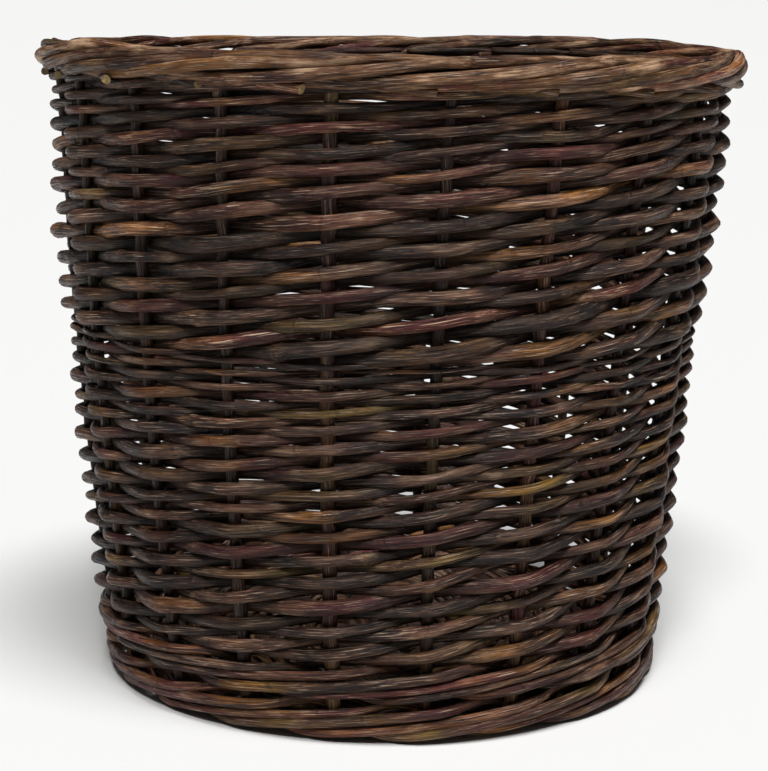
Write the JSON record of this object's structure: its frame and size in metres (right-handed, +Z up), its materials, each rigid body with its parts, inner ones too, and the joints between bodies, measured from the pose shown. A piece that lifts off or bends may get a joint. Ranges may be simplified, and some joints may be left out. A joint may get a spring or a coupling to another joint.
{
  "type": "wicker log basket",
  "caption": "Round tapered log basket of dark unpeeled willow with randed sides, a rope border and no handles.",
  "frame": {"origin": "middle of the basket on the floor plane, at the underside of its lowest rod", "axes": "+Z up along the middle line of the basket; the front, -Y, falls between two stakes"},
  "size_m": [0.4494, 0.4494, 0.405],
  "materials": {
    "stake_bark": "satin dark willow bark, tan in the border",
    "upsett_bark": "satin brown and tan willow bark",
    "lower_weave_bark": "satin dark brown willow bark",
    "upper_weave_bark": "satin dark brown to purple willow bark",
    "base_stick_bark": "matt brown willow bark",
    "base_weave_bark": "matt brown willow bark"
  },
  "bodies": {
    "root": {"base_stick_pierced_1": "base_stick_bark", "base_stick_pierced_2": "base_stick_bark", "base_stick_pierced_3": "base_stick_bark", "base_stick_pierced_4": "base_stick_bark", "base_stick_pierced_5": "base_stick_bark", "base_stick_threaded_1": "base_stick_bark", "base_stick_threaded_2": "base_stick_bark", "base_stick_threaded_3": "base_stick_bark", "base_stick_threaded_4": "base_stick_bark", "base_stick_threaded_5": "base_stick_bark", "base_weaver_a": "base_weave_bark", "base_weaver_b": "base_weave_bark", "lower_rand_round_01": "lower_weave_bark", "lower_rand_round_02": "lower_weave_bark", "lower_rand_round_03": "lower_weave_bark", "lower_rand_round_04": "lower_weave_bark", "lower_rand_round_05": "lower_weave_bark", "lower_rand_round_06": "lower_weave_bark", "lower_rand_round_07": "lower_weave_bark", "lower_rand_round_08": "lower_weave_bark", "lower_rand_round_09": "lower_weave_bark", "lower_rand_round_10": "lower_weave_bark", "lower_rand_round_11": "lower_weave_bark", "lower_rand_round_12": "lower_weave_bark", "lower_rand_round_13": "lower_weave_bark", "stake_01": "stake_bark", "stake_02": "stake_bark", "stake_03": "stake_bark", "stake_04": "stake_bark", "stake_05": "stake_bark", "stake_06": "stake_bark", "stake_07": "stake_bark", "stake_08": "stake_bark", "stake_09": "stake_bark", "stake_10": "stake_bark", "stake_11": "stake_bark", "stake_12": "stake_bark", "stake_13": "stake_bark", "stake_14": "stake_bark", "stake_15": "stake_bark", "stake_16": "stake_bark", "stake_17": "stake_bark", "stake_18": "stake_bark", "stake_19": "stake_bark", "stake_20": "stake_bark", "upper_rand_round_01": "upper_weave_bark", "upper_rand_round_02": "upper_weave_bark", "upper_rand_round_03": "upper_weave_bark", "upper_rand_round_04": "upper_weave_bark", "upper_rand_round_05": "upper_weave_bark", "upper_rand_round_06": "upper_weave_bark", "upper_rand_round_07": "upper_weave_bark", "upper_rand_round_08": "upper_weave_bark", "upper_rand_round_09": "upper_weave_bark", "upper_rand_round_10": "upper_weave_bark", "upper_rand_round_11": "upper_weave_bark", "upsett_rod_1": "upsett_bark", "upsett_rod_2": "upsett_bark", "upsett_rod_3": "upsett_bark", "upsett_rod_4": "upsett_bark"}
  },
  "joints": []
}
